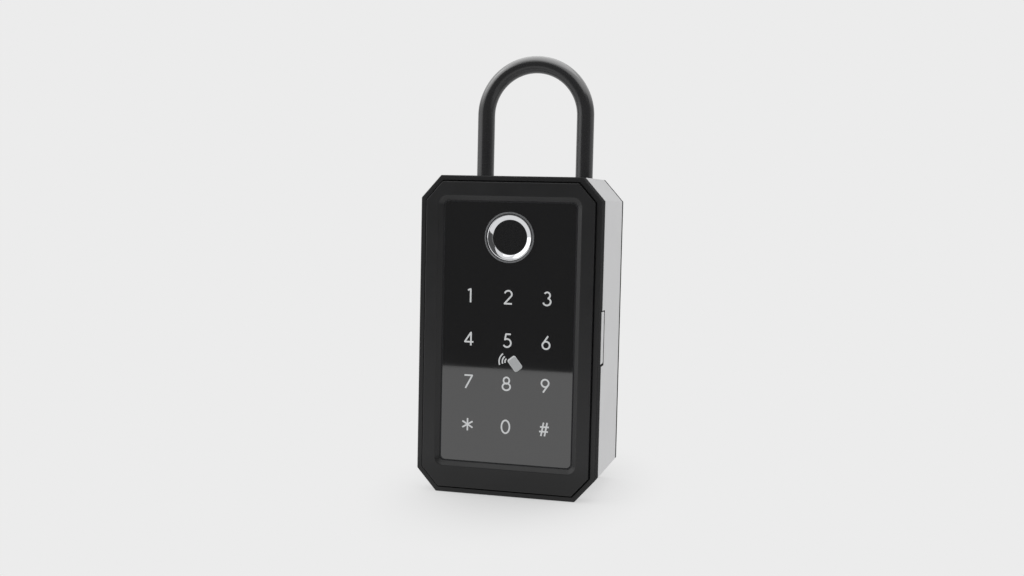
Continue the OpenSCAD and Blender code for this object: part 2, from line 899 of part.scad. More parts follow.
module battery_cover() {
    grip_count = 5;
    color([0.13, 0.13, 0.14])
        difference() {
            union() {
                block(-bay_half + window_lip + pocket_gap, bay_half - window_lip - pocket_gap,
                    y_cover_in, y_cover, bay_z0 + window_lip + pocket_gap,
                    bay_z1 - window_lip - pocket_gap);
                slab(y_cover, y_cover + lid_t)
                    rounded(bay_half + lid_lap, holder_z0, lid_z1, 2);
            }
            at_lid_screws()
                rod_y(0, 0, y_cover - past, y_cover + lid_t + past, pan_r + fit);
            for (i = [0 : grip_count - 1])
                block(-7, 7, y_cover + lid_t / 2, y_cover + lid_t + past,
                    bay_z0 + 4 + 2.4 * i, bay_z0 + 5.2 + 2.4 * i);
        }
}

module battery_cover_screws() {
    color("dimgray")
        at_lid_screws()
            pan_screw(0, 0, y_cover_in - lid_boss_len + past + fit, y_cover + lid_t);
}

module lock_frame() {
    mx0 = motor_x - motor_w / 2;
    mx1 = motor_x + motor_w / 2;
    my1 = motor_y + motor_d / 2;
    color("lightgray")
        union() {
            block(lock_x0, lock_x1, y_cover_in - frame_plate, y_cover_in, lock_z0, motor_z1);
            block(lock_x0, lock_x1, y_bolt0, y_cover_in - frame_plate / 2, lock_z0, bolt_z0 - rail_gap);
            block(lock_x0, lock_x1, my1 + slide_gap, y_cover_in - frame_plate / 2,
                bolt_z1 + rail_gap, bolt_z1 + rail_gap + upper_rail_h);
            block(lock_x1 - keeper_w, lock_x1, y_bolt0 - rail_gap - keeper_t, y_bolt0 - rail_gap,
                lock_z0, bolt_z1 + rail_gap + upper_rail_h);
            for (z = [lock_z0, bolt_z1 + rail_gap])
                block(lock_x1 - keeper_w, lock_x1, y_bolt0 - rail_gap - keeper_t / 2,
                    y_cover_in - frame_plate / 2, z, z + upper_rail_h);
            for (x = [mx0 - fit - cradle_t, mx1 + fit])
                block(x, x + cradle_t, motor_y, y_cover_in - frame_plate / 2, motor_z0 + cradle_rib,
                    motor_z1 - cradle_rib);
            for (z = [motor_z0 + cradle_rib, motor_z1 - 2 * cradle_rib])
                block(mx0 - fit - cradle_t / 2, mx1 + fit + cradle_t / 2, my1, y_cover_in - frame_plate / 2,
                    z, z + cradle_rib);
        }
}

module gear_motor() {
    can_z0 = motor_z0 + gearbox_len;
    color("gold")
        difference() {
            union() {
                block(motor_x - motor_w / 2, motor_x + motor_w / 2,
                    motor_y - motor_d / 2, motor_y + motor_d / 2, motor_z0, can_z0);
                intersection() {
                    rod_z(motor_x, motor_y, can_z0, motor_z1, motor_w / 2);
                    block(motor_x - motor_w, motor_x + motor_w, motor_y - motor_d / 2, motor_y + motor_d / 2,
                        can_z0 - past, motor_z1 + past);
                }
                rod_z(motor_x, motor_y, motor_z1, motor_z1 + cap_len, motor_d / 3);
            }
            rod_z(motor_x, motor_y, motor_z0 - past, motor_z0 + shaft_in + slide_gap,
                shaft_d / 2 + shaft_gap);
        }
}

module motor_shaft() {
    color("gainsboro")
        rod_z(motor_x, motor_y, bolt_z - pinion_face / 2, motor_z0 + shaft_in, shaft_d / 2);
}

// Involute teeth: half the tooth's angle at a radius, falling to the tip
function involute(a) = tan(a) * 180 / PI - a;
function tooth_half(r) = 90 / pinion_teeth - tooth_slack / pinion_r * 180 / PI + involute(pressure_angle)
    - involute(acos(min(1, base_r / r)));
function polar(r, a) = [r * cos(a), r * sin(a)];

module pinion_outline() {
    steps = 5;
    root_r = pinion_r - dedendum;
    tip_r = pinion_r + addendum;
    radii = [for (i = [0 : steps]) base_r + (tip_r - base_r) * i / steps];
    polygon([for (k = [0 : pinion_teeth - 1])
        let (mid = 90 + k * 360 / pinion_teeth)
            each concat([polar(root_r, mid - tooth_half(base_r))],
                [for (r = radii) polar(r, mid - tooth_half(r))],
                [for (i = [steps : -1 : 0]) polar(radii[i], mid + tooth_half(radii[i]))],
                [polar(root_r, mid + tooth_half(base_r))])]);
}

module drive_pinion() {
    color("goldenrod")
        translate([motor_x, motor_y, bolt_z - pinion_face / 2])
            difference() {
                linear_extrude(pinion_face)
                    pinion_outline();
                translate([0, 0, -past])
                    cylinder(r = shaft_d / 2 + pin_fit, h = pinion_face + 2 * past);
            }
}

module rack_tooth(x) {
    tip = rack_pitch / 4 - tooth_slack - addendum * tan(pressure_angle);
    root = rack_pitch / 4 - tooth_slack + dedendum * tan(pressure_angle);
    y_tip = y_bolt0 - dedendum - addendum;
    polygon([[x - root, y_bolt0 + 0.1], [x - root, y_bolt0], [x - tip, y_tip], [x + tip, y_tip],
        [x + root, y_bolt0], [x + root, y_bolt0 + 0.1]]);
}

module lock_bolt() {
    color("lightgray")
        translate([0, 0, bolt_z0])
            linear_extrude(bolt_h)
                union() {
                    polygon([[bolt_x0, y_bolt0], [bolt_x1, y_bolt0], [bolt_x1, y_bolt1 - bolt_nose],
                        [bolt_x1 - bolt_nose, y_bolt1], [bolt_x0, y_bolt1]]);
                    for (k = [rack_low : rack_high])
                        rack_tooth(motor_x + (k + 0.5) * rack_pitch);
                }
}

// The tab's reach in Y and height in Z, rounded at its two rear corners
module tab_outline() {
    translate([y_part, lip_z0])
        square([lip_reach - tab_corner, lip_h]);
    translate([y_part, lip_z0 + tab_corner])
        square([lip_reach, lip_h - 2 * tab_corner]);
    for (z = [lip_z0 + tab_corner, lip_z0 + lip_h - tab_corner])
        translate([y_part + lip_reach - tab_corner, z])
            circle(tab_corner);
}

module pull_tab() {
    color("silver")
        union() {
            tab_seat(0);
            translate([half_w + tab_proud - tab_t, 0, 0])
                rotate([90, 0, 90])
                    linear_extrude(tab_t)
                        tab_outline();
        }
}

module usb_socket() {
    color("gainsboro")
        union() {
            difference() {
                block(-usb_w / 2, usb_w / 2, y_usb - usb_t / 2, y_usb + usb_t / 2, usb_z0, usb_z1);
                block(-usb_w / 2 + usb_shell, usb_w / 2 - usb_shell, y_usb - usb_t / 2 + usb_shell,
                    y_usb + usb_t / 2 - usb_shell, usb_z0 - past, usb_z0 + usb_mouth);
            }
            block(-usb_tongue_w / 2, usb_tongue_w / 2, y_usb - usb_tongue_t / 2, y_usb + usb_tongue_t / 2,
                usb_z0 + past, usb_z1 - past);
        }
}

module shackle() {
    color([0.13, 0.13, 0.14])
        difference() {
            union() {
                for (x = [-leg_x, leg_x]) {
                    rod_z(x, y_shackle, leg_z0 + leg_tip, arch_z, leg_r);
                    translate([x, y_shackle, leg_z0])
                        cylinder(r1 = leg_r - leg_tip, r2 = leg_r, h = leg_tip);
                }
                translate([0, y_shackle, arch_z])
                    rotate([90, 0, 0])
                        rotate_extrude(angle = 180)
                            translate([leg_x, 0])
                                circle(leg_r);
            }
            block(leg_x - leg_r - past, leg_x - leg_r + notch_deep, y_shackle - leg_d, y_shackle + leg_d,
                notch_z, notch_z + notch_h);
        }
}

module release_slider() {
    z0 = notch_z + slide_gap;
    z1 = notch_z + notch_h - slide_gap;
    thumb_x = slider_x1 - slider_len / 2;
    color("firebrick")
        union() {
            block(slider_x1 - slider_len, slider_x1, guide_y0, slider_y1, z0, z1);
            block(thumb_x - thumb_w / 2, thumb_x + thumb_w / 2, guide_y0 - thumb_reach, guide_y0 - slide_gap,
                (z0 + z1 - thumb_h) / 2, (z0 + z1 + thumb_h) / 2);
            block(thumb_x - thumb_w / 2, thumb_x + thumb_w / 2, guide_y0 - thumb_reach / 2, guide_y0 + past,
                z0, z1);
        }
}

module reset_button() {
    color("gray")
        union() {
            rod_y(button_x, button_z, y_cover_in - button_flange_t / 2, y_cover + button_proud, button_r);
            rod_y(button_x, button_z, y_cover_in - button_flange_t, y_cover_in, button_flange_r);
            rod_y(button_x, button_z, button_end, y_cover_in - button_flange_t / 2, button_r / 2);
        }
}

housing_shell();
back_plate();
back_screws();
shackle_guide();
guide_screws();
shackle_seals();
key_hooks();
strike_bar();
strike_screws();
hinge_pin();
door_rim();
front_plate();
glass_panel();
sensor_ring();
fingerprint_sensor();
keypad_board();
door_seal();
inner_cover();
cover_screws();
main_board();
board_screws();
buzzer();
battery_holder();
battery(0);  // battery_1
battery(1);  // battery_2
battery(2);  // battery_3
battery(3);  // battery_4
battery_contacts();
battery_cover();
battery_cover_screws();
lock_frame();
gear_motor();
pull_tab();
usb_socket();
lock_bolt();
motor_shaft();
drive_pinion();
shackle();
release_slider();
reset_button();
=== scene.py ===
import math

import bpy
from mathutils import Matrix, Vector


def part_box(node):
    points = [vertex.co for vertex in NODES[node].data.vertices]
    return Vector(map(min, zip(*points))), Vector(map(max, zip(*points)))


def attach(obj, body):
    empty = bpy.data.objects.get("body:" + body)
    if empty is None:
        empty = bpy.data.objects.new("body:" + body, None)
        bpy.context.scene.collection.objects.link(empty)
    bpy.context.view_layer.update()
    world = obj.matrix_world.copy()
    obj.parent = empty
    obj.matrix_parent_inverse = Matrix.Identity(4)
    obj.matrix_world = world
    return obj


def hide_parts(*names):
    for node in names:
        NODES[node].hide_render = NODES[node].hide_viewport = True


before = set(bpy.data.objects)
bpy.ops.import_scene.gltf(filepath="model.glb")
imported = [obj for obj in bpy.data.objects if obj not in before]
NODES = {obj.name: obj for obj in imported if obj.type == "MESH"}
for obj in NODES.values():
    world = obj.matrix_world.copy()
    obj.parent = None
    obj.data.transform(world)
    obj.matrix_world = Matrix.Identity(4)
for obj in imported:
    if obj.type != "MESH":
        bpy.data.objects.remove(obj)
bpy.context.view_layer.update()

bl_info = {
    "name": "Key Lockbox",
    "version": (1, 0, 0),
    "blender": (4, 5, 0),
    "location": "3D View > Sidebar > Lockbox",
    "description": "Dresses the lockbox frame: finishes, shackle, reader, printed keys and stage",
    "category": "Object",
}

MM = 0.001

# Places of the frame's pieces, in metres
GLASS_LOW, GLASS_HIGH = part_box("glass_panel")
RING_LOW, RING_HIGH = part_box("sensor_ring")
SENSOR_LOW, SENSOR_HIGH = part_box("fingerprint_sensor")
SHACKLE_LOW, SHACKLE_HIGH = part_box("shackle")
TAB_LOW, TAB_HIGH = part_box("pull_tab")
RIM_LOW, RIM_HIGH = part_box("door_rim")
SHELL_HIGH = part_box("housing_shell")[1]
GLASS_FACE = GLASS_LOW.y
READER_Z = (RING_LOW.z + RING_HIGH.z) / 2
LEG_R = (SHACKLE_HIGH.y - SHACKLE_LOW.y) / 2
LEG_X = SHACKLE_HIGH.x - LEG_R
BOW_Z = SHACKLE_HIGH.z - SHACKLE_HIGH.x

# Radii of the reader's ring: flange, groove behind it, lip, crest of the cone, bore and rear sleeve
RING_OUTER, RING_GROOVE, RING_LIP = 10 * MM, 9.35 * MM, 9.05 * MM
RING_CREST, RING_BORE, RING_SLEEVE = 8.72 * MM, 6.9 * MM, 9.3 * MM
READER_HOLE = 9.4 * MM
TURNED_SIDES = 128

# Where a finish changes on one piece: past an edge, behind the rim's front, up the door's foot where painted shade
# fades out, from the middle of the shackle's bar outwards and up its bow, and at the height of the cells' second
# colour
PAST_EDGE = 0.02 * MM
RIM_SKIN = 0.15 * MM
FOOT_SHADE_LOW, FOOT_SHADE_HIGH = 7 * MM, 17 * MM
RUB_WIDTH, RUB_LOW, RUB_HIGH = 2.8 * MM, 2 * MM, 14 * MM
CELL_SPLIT = 38 * MM


def linear(code):
    """Linear RGBA from an sRGB hex code."""
    parts = [int(code[i:i + 2], 16) / 255 for i in (0, 2, 4)]
    return tuple(p / 12.92 if p <= 0.04045 else ((p + 0.055) / 1.055) ** 2.4 for p in parts) + (1.0,)


class LockboxSizes(bpy.types.PropertyGroup):
    """Sizes of what is added to the frame"""

    edge_radius: bpy.props.FloatProperty(
        name="Edge radius", description="Rounding of machined and moulded edges",
        default=0.22 * MM, min=0, precision=5, unit="LENGTH")
    key_height: bpy.props.FloatProperty(
        name="Key height", description="Height of a printed digit",
        default=5.75 * MM, min=0, precision=5, unit="LENGTH")
    key_stroke: bpy.props.FloatProperty(
        name="Key stroke", description="Width of a printed line",
        default=0.65 * MM, min=0, precision=5, unit="LENGTH")
    key_pitch_x: bpy.props.FloatProperty(
        name="Key pitch across", description="Distance between columns of keys",
        default=15.7 * MM, min=0, precision=5, unit="LENGTH")
    key_pitch_z: bpy.props.FloatProperty(
        name="Key pitch down", description="Distance between rows of keys",
        default=17.17 * MM, min=0, precision=5, unit="LENGTH")
    key_top: bpy.props.FloatProperty(
        name="First row", description="Height of the first row's middle",
        default=79.5 * MM, min=0, precision=5, unit="LENGTH")
    ink_thickness: bpy.props.FloatProperty(
        name="Ink thickness", description="How far the print stands on the glass",
        default=0.03 * MM, min=0, precision=6, unit="LENGTH")


class LockboxColours(bpy.types.PropertyGroup):
    """Colours of the finishes"""

    silver: bpy.props.FloatVectorProperty(
        name="Silver", description="Anodised case and pull tab",
        default=linear("D0D0D1"), size=4, min=0, max=1, subtype="COLOR")
    enamel: bpy.props.FloatVectorProperty(
        name="Black enamel", description="Front plate",
        default=linear("1C1C1D"), size=4, min=0, max=1, subtype="COLOR")
    coat: bpy.props.FloatVectorProperty(
        name="Black coat", description="Door rim and back plate",
        default=linear("232324"), size=4, min=0, max=1, subtype="COLOR")
    shackle: bpy.props.FloatVectorProperty(
        name="Shackle", description="Powder coat of the shackle",
        default=linear("2B2B2C"), size=4, min=0, max=1, subtype="COLOR")
    glass: bpy.props.FloatVectorProperty(
        name="Glass", description="Tinted keypad glass",
        default=linear("101011"), size=4, min=0, max=1, subtype="COLOR")
    ink: bpy.props.FloatVectorProperty(
        name="Print", description="Ink of the keys",
        default=linear("D8DADB"), size=4, min=0, max=1, subtype="COLOR")
    ink_grey: bpy.props.FloatVectorProperty(
        name="Grey print", description="Ink of the card",
        default=linear("B2B4B5"), size=4, min=0, max=1, subtype="COLOR")
    plastic: bpy.props.FloatVectorProperty(
        name="Plastic", description="Inner cover, guide and battery parts",
        default=linear("1C1D1F"), size=4, min=0, max=1, subtype="COLOR")
    floor: bpy.props.FloatVectorProperty(
        name="Floor", description="Studio floor",
        default=linear("ECECEC"), size=4, min=0, max=1, subtype="COLOR")


def add(tree, kind, inputs=None, **settings):
    """Adds a node; an input is a value or another node's output socket."""
    made = tree.nodes.new(kind)
    for key, value in settings.items():
        setattr(made, key, value)
    for key, value in (inputs or {}).items():
        if isinstance(value, bpy.types.NodeSocket):
            tree.links.new(value, made.inputs[key])
        else:
            made.inputs[key].default_value = value
    return made


def surface(name, **inputs):
    """A new material and its shader, with plain values set on the shader's sockets."""
    made = bpy.data.materials.new(name)
    made.use_nodes = True
    shader = made.node_tree.nodes["Principled BSDF"]
    for key, value in inputs.items():
        shader.inputs[key.replace("_", " ")].default_value = value
    return made, made.node_tree, shader


def per_metre(size_mm):
    """Texture scale at which one noise cell is about size_mm across."""
    return 1 / (size_mm * MM)


def shade(colour, factor):
    """The colour made a little darker or lighter."""
    return tuple(min(1.0, part * factor) for part in colour[:3]) + (1.0,)


def grain(tree, size_mm, detail, stretch=(1, 1, 1)):
    """Noise on Object coordinates, with cells of a real size."""
    place = add(tree, "ShaderNodeTexCoord").outputs["Object"]
    turned = add(tree, "ShaderNodeMapping", {"Vector": place, "Scale": stretch})
    return add(tree, "ShaderNodeTexNoise",
               {"Vector": turned.outputs["Vector"], "Scale": per_metre(size_mm), "Detail": detail}).outputs["Fac"]


def along(tree, axis):
    """Place along one axis of the frame."""
    place = add(tree, "ShaderNodeTexCoord").outputs["Object"]
    return add(tree, "ShaderNodeSeparateXYZ", {0: place}).outputs[axis]


def across(tree, z):
    """Place as seen along Y, measured from the axis at height z."""
    place = add(tree, "ShaderNodeTexCoord").outputs["Object"]
    return add(tree, "ShaderNodeMapping",
               {"Vector": place, "Location": (0, 0, -z), "Scale": (1, 0, 1)}).outputs["Vector"]


# Most of a noise pattern lies between these values
MIDDLE = {"From Min": 0.25, "From Max": 0.75}


def dress(tree, shader, colour=None, rough=None, relief=None):
    """Lays patterns on a shader.

    colour is a pattern and the two colours that it drifts between, rough is a pattern and the band of its roughness,
    and relief is a pattern and its depth in millimetres.
    """
    if colour:
        cloud, dark, light = colour
        drift = add(tree, "ShaderNodeMix", {0: cloud, 6: dark, 7: light}, data_type="RGBA")
        tree.links.new(drift.outputs[2], shader.inputs["Base Color"])
    if rough:
        grit, low, high = rough
        band = add(tree, "ShaderNodeMapRange", {"Value": grit, "To Min": low, "To Max": high, **MIDDLE})
        tree.links.new(band.outputs["Result"], shader.inputs["Roughness"])
    if relief:
        grit, depth_mm = relief
        bumps = add(tree, "ShaderNodeBump", {"Height": grit, "Distance": depth_mm * MM, "Strength": 1.0})
        tree.links.new(bumps.outputs["Normal"], shader.inputs["Normal"])


def overlay(tree, shader, mask, **values):
    """Lets the shader's sockets take other values, or other sockets, where the mask is 1."""
    for key, value in values.items():
        socket = shader.inputs[key.replace("_", " ")]
        below = socket.links[0].from_socket if socket.is_linked else socket.default_value
        if socket.type == "RGBA":
            mixed = add(tree, "ShaderNodeMix", {0: mask, 6: below, 7: value}, data_type="RGBA").outputs[2]
        else:
            mixed = add(tree, "ShaderNodeMix", {0: mask, 2: below, 3: value}).outputs[0]
        tree.links.new(mixed, socket)


def foot_shade(tree):
    """1 at the door's foot, where painted shade darkens the enamel, and 0 further up."""
    return add(tree, "ShaderNodeMapRange",
               {"Value": along(tree, "Z"), "From Min": FOOT_SHADE_LOW, "From Max": FOOT_SHADE_HIGH, "To Min": 1.0, "To Max": 0.0},
               interpolation_type="SMOOTHSTEP").outputs["Result"]


def make_finishes(colours):
    """Every finish of the lockbox, by name."""
    made = {}

    # Bead-blasted aluminium, clear anodised: an even pale sheen with a very fine grit
    mat, tree, shader = surface("anodised_aluminium_satin", Metallic=0.85)
    grit = grain(tree, 0.25, 3)
    dress(tree, shader, colour=(grain(tree, 22, 2), shade(colours.silver, 0.94), shade(colours.silver, 1.04)),
          rough=(grit, 0.36, 0.46), relief=(grit, 0.004))
    made["silver"] = mat

    # Baked enamel on the die-cast front plate: satin black with a faint orange peel, and painted shade towards the
    # foot
    mat, tree, shader = surface("baked_enamel_satin_black", IOR=1.5)
    cloud = grain(tree, 14, 3)
    dress(tree, shader, colour=(cloud, shade(colours.enamel, 0.85), shade(colours.enamel, 1.15)),
          rough=(cloud, 0.38, 0.46), relief=(grain(tree, 0.7, 2), 0.006))
    # Painted shade: the enamel's colour is darker towards the door's foot
    overlay(tree, shader, foot_shade(tree), Base_Color=shade(colours.enamel, 0.35))
    made["enamel"] = mat

    # Matt electro-coat on the rim and the back plate: flat black with hardly any sheen at a low angle.
    # The rim's front is enamelled together with the plate, with the same painted shade towards the foot
    mat, tree, shader = surface("electro_coat_matt_black", IOR=1.5, Specular_IOR_Level=0.04)
    cloud = grain(tree, 11, 3)
    dress(tree, shader, colour=(cloud, shade(colours.coat, 0.85), shade(colours.coat, 1.15)),
          rough=(cloud, 0.7, 0.8), relief=(grain(tree, 0.4, 2), 0.006))
    front = add(tree, "ShaderNodeMath", {0: along(tree, "Y"), 1: RIM_LOW.y + RIM_SKIN},
                operation="LESS_THAN").outputs["Value"]
    enamel = add(tree, "ShaderNodeMix", {0: cloud, 6: shade(colours.enamel, 0.85), 7: shade(colours.enamel, 1.15)},
                 data_type="RGBA").outputs[2]
    overlay(tree, shader, front, Base_Color=enamel, Roughness=0.42, Specular_IOR_Level=0.5)
    # Painted shade: the rim's front is darker towards the door's foot, as on the plate
    front_foot_shade = add(tree, "ShaderNodeMath", {0: front, 1: foot_shade(tree)}, operation="MULTIPLY").outputs["Value"]
    overlay(tree, shader, front_foot_shade, Base_Color=shade(colours.enamel, 0.35))
    made["coat"] = mat

    # Powder coat on round steel bar: black with fine pits, and rubbed glossy on the outside of the bow
    mat, tree, shader = surface("powder_coat_black", IOR=1.5, Coat_IOR=2.2, Coat_Roughness=0.15)
    pits = grain(tree, 0.45, 4)
    dress(tree, shader, colour=(grain(tree, 9, 2), shade(colours.shackle, 0.8), shade(colours.shackle, 1.2)),
          rough=(pits, 0.2, 0.3), relief=(pits, 0.008))
    bow = across(tree, BOW_Z)
    radius = add(tree, "ShaderNodeVectorMath", {0: bow}, operation="LENGTH").outputs["Value"]
    rise = add(tree, "ShaderNodeSeparateXYZ", {0: bow}).outputs["Z"]
    outside = add(tree, "ShaderNodeMapRange", {"Value": radius, "From Min": LEG_X, "From Max": LEG_X + RUB_WIDTH},
                  interpolation_type="SMOOTHSTEP").outputs["Result"]
    above = add(tree, "ShaderNodeMapRange", {"Value": rise, "From Min": RUB_LOW, "From Max": RUB_HIGH},
                interpolation_type="SMOOTHSTEP").outputs["Result"]
    rubbed = add(tree, "ShaderNodeMath", {0: outside, 1: above}, operation="MULTIPLY").outputs["Value"]
    overlay(tree, shader, rubbed, Coat_Weight=1.0, Specular_IOR_Level=1.0)
    made["shackle"] = mat

    # Tinted float glass with a half-mirror back print: black, with a clear reflection and a frosted ground edge, whose
    # grey is painted lighter to lift the shade in the narrow trench round the glass
    mat, tree, shader = surface("tinted_touch_glass", IOR=1.52, Specular_IOR_Level=1.0, Coat_Weight=0.7,
                                Coat_Roughness=0.02, Coat_IOR=1.5)
    haze = grain(tree, 18, 2)
    dress(tree, shader, colour=(haze, shade(colours.glass, 0.87), shade(colours.glass, 1.13)),
          rough=(haze, 0.03, 0.05))
    edge = add(tree, "ShaderNodeMath", {0: along(tree, "Y"), 1: GLASS_FACE + PAST_EDGE},
               operation="GREATER_THAN").outputs["Value"]
    # Painted light: the ground edge's grey is made lighter to lift the shade of the trench round the glass
    overlay(tree, shader, edge, Base_Color=linear("48484A"), Roughness=0.6, Specular_IOR_Level=0.3, Coat_Weight=0.0)
    made["glass"] = mat

    # Turned stainless steel: a polished cone with hair-fine turning lines round the reader's axis, and outside it a
    # groove coloured dark as painted shade, and a satin flange
    mat, tree, shader = surface("turned_stainless_polished", Metallic=1.0, Base_Color=linear("E4E5E7"))
    radius = add(tree, "ShaderNodeVectorMath", {0: across(tree, READER_Z)}, operation="LENGTH").outputs["Value"]
    lines = add(tree, "ShaderNodeTexNoise", {"W": radius, "Scale": per_metre(0.12), "Detail": 2.0},
                noise_dimensions="1D").outputs["Fac"]
    dress(tree, shader, rough=(lines, 0.04, 0.1), relief=(lines, 0.0008))
    flange = add(tree, "ShaderNodeMath", {0: radius, 1: RING_LIP + PAST_EDGE},
                 operation="GREATER_THAN").outputs["Value"]
    overlay(tree, shader, flange, Base_Color=linear("8E8F91"), Roughness=0.55)
    # Painted shade: the groove between the lip and the flange is coloured dark
    groove_shade = add(tree, "ShaderNodeMath", {0: radius, 1: (RING_LIP + RING_GROOVE + PAST_EDGE) / 2,
                                          2: (RING_GROOVE - RING_LIP) / 2}, operation="COMPARE").outputs["Value"]
    overlay(tree, shader, groove_shade, Base_Color=linear("2C2C2D"))
    made["polished"] = mat

    # Hard-coated sensor face: black and smooth with a faint fine grid of pixels
    mat, tree, shader = surface("sensor_hard_coat", IOR=1.5)
    cells = grain(tree, 0.3, 1)
    dress(tree, shader, colour=(cells, linear("161617"), linear("1C1C1D")), rough=(cells, 0.24, 0.34))
    made["sensor"] = mat

    # Screen-printed ceramic ink: matt and slightly uneven, white for the lines and grey for the card
    for key, colour in (("ink", colours.ink), ("ink_grey", colours.ink_grey)):
        mat, tree, shader = surface("screen_print_" + key, Roughness=0.55, IOR=1.45)
        dots = grain(tree, 0.2, 2)
        dress(tree, shader, colour=(dots, shade(colour, 0.9), shade(colour, 1.06)), relief=(dots, 0.002))
        made[key] = mat

    # Spark-textured ABS mouldings: black inside, and two signal colours
    for key, colour in (("plastic", colours.plastic), ("red_plastic", linear("A62B25")),
                        ("grey_plastic", linear("77797B"))):
        mat, tree, shader = surface("abs_spark_texture_" + key, IOR=1.53)
        sparks = grain(tree, 0.35, 3)
        dress(tree, shader, colour=(grain(tree, 12, 2), shade(colour, 0.85), shade(colour, 1.15)),
              rough=(sparks, 0.48, 0.62), relief=(sparks, 0.015))
        made[key] = mat

    # Nitrile rubber: dull black with a dusty bloom
    mat, tree, shader = surface("nitrile_rubber", Roughness=0.75, IOR=1.52)
    dress(tree, shader, colour=(grain(tree, 3, 4), linear("101011"), linear("1B1B1C")),
          relief=(grain(tree, 0.2, 2), 0.01))
    made["rubber"] = mat

    # Zinc-plated steel: cool grey with fine draw lines
    mat, tree, shader = surface("zinc_plated_steel", Metallic=1.0)
    drawn = grain(tree, 0.3, 3, (1, 1, 0.12))
    dress(tree, shader, colour=(grain(tree, 2.5, 3), linear("A9AAAA"), linear("BEBEBC")),
          rough=(drawn, 0.24, 0.4), relief=(drawn, 0.003))
    made["zinc"] = mat

    # Cast brass, tumbled: warm and slightly mottled
    mat, tree, shader = surface("tumbled_brass", Metallic=1.0)
    mottle = grain(tree, 1.2, 3)
    dress(tree, shader, colour=(mottle, linear("B28A3E"), linear("C9A24F")), rough=(mottle, 0.26, 0.4))
    made["brass"] = mat

    # Glass-fibre circuit board under green solder mask: dark tracks show through
    mat, tree, shader = surface("fibre_board_green_mask", Roughness=0.35, IOR=1.55)
    tracks = grain(tree, 1.5, 1, (1, 1, 0.3))
    clear = add(tree, "ShaderNodeMapRange", {"Value": tracks, **MIDDLE}).outputs["Result"]
    dress(tree, shader, colour=(clear, linear("0E3B22"), linear("1B5A35")), relief=(tracks, 0.02))
    made["board"] = mat

    # Printed film on a cell: gold and black halves with a soft gloss
    mat, tree, shader = surface("printed_cell_film", IOR=1.5, Base_Color=linear("1E1E20"))
    dress(tree, shader, rough=(grain(tree, 4, 2), 0.25, 0.36))
    upper = add(tree, "ShaderNodeMath", {0: along(tree, "Z"), 1: CELL_SPLIT},
                operation="GREATER_THAN").outputs["Value"]
    overlay(tree, shader, upper, Base_Color=linear("B48A3C"))
    made["film"] = mat
    return made


FINISHES = {}

# Which finish each frame node takes
NODE_FINISH = {
    "silver": ("housing_shell", "pull_tab"),
    "enamel": ("front_plate",),
    "coat": ("back_plate", "door_rim"),
    "glass": ("glass_panel",),
    "plastic": ("shackle_guide", "inner_cover", "battery_holder", "battery_cover", "buzzer"),
    "rubber": ("shackle_seals", "door_seal"),
    "board": ("keypad_board", "main_board"),
    "film": ("battery_1", "battery_2", "battery_3", "battery_4"),
    "zinc": ("back_screws", "guide_screws", "strike_screws", "cover_screws", "board_screws", "battery_cover_screws",
             "key_hooks", "strike_bar", "lock_frame", "lock_bolt", "hinge_pin", "motor_shaft", "battery_contacts",
             "usb_socket"),
    "brass": ("drive_pinion", "gear_motor"),
    "red_plastic": ("release_slider",),
    "grey_plastic": ("reset_button",),
}

# Edges of these show, so they get rounded
SOFT_NODES = ("housing_shell", "pull_tab", "back_plate", "door_rim", "front_plate", "inner_cover", "battery_cover",
              "shackle_guide", "release_slider", "lock_bolt", "strike_bar", "reset_button", "usb_socket")


def start():
    """Object mode with nothing selected."""
    if bpy.context.object and bpy.context.object.mode != "OBJECT":
        bpy.ops.object.mode_set(mode="OBJECT")
    bpy.ops.object.select_all(action="DESELECT")


def wear(obj, finish):
    """Gives an object one finish."""
    obj.data.materials.clear()
    obj.data.materials.append(FINISHES[finish])


def settle(obj, name, finish, body, slot, *nodes):
    """Names a new piece, gives it its finish and ties it to the frame."""
    obj.name = obj.data.name = name
    wear(obj, finish)
    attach(obj, body)
    if nodes:
        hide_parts(*nodes)


def place_in_mesh():
    """Puts the active object's place into its mesh."""
    bpy.ops.object.mode_set(mode="OBJECT")
    bpy.ops.object.transform_apply(location=True, rotation=True, scale=True)


# How far along an axis a normal points when its face counts as facing that way
FACING = 0.9


def pick_faces(obj, test):
    """In edit mode, selects the faces whose normal passes the test."""
    bpy.ops.mesh.select_mode(type="FACE")
    bpy.ops.mesh.select_all(action="DESELECT")
    bpy.ops.object.mode_set(mode="OBJECT")
    for face in obj.data.polygons:
        face.select = test(face.normal)
    bpy.ops.object.mode_set(mode="EDIT")


def apply_modifier(obj, kind, **settings):
    """Adds a modifier to the active object and applies it."""
    made = obj.modifiers.new(kind.title(), kind)
    for key, value in settings.items():
        setattr(made, key, value)
    bpy.ops.object.modifier_apply(modifier=made.name)


def pick_edges(obj, test):
    """In edit mode, selects the edges whose two ends pass the test."""
    bpy.ops.mesh.select_mode(type="EDGE")
    bpy.ops.mesh.select_all(action="DESELECT")
    bpy.ops.object.mode_set(mode="OBJECT")
    spots = obj.data.vertices
    for edge in obj.data.edges:
        edge.select = test(*(spots[i].co for i in edge.vertices))
    bpy.ops.object.mode_set(mode="EDIT")


def cut(context, obj, cutter):
    """Takes the cutter out of the object and drops it."""
    bpy.ops.object.select_all(action="DESELECT")
    context.view_layer.objects.active = obj
    obj.select_set(True)
    apply_modifier(obj, "BOOLEAN", object=cutter, operation="DIFFERENCE", solver="EXACT")
    bpy.data.objects.remove(cutter)


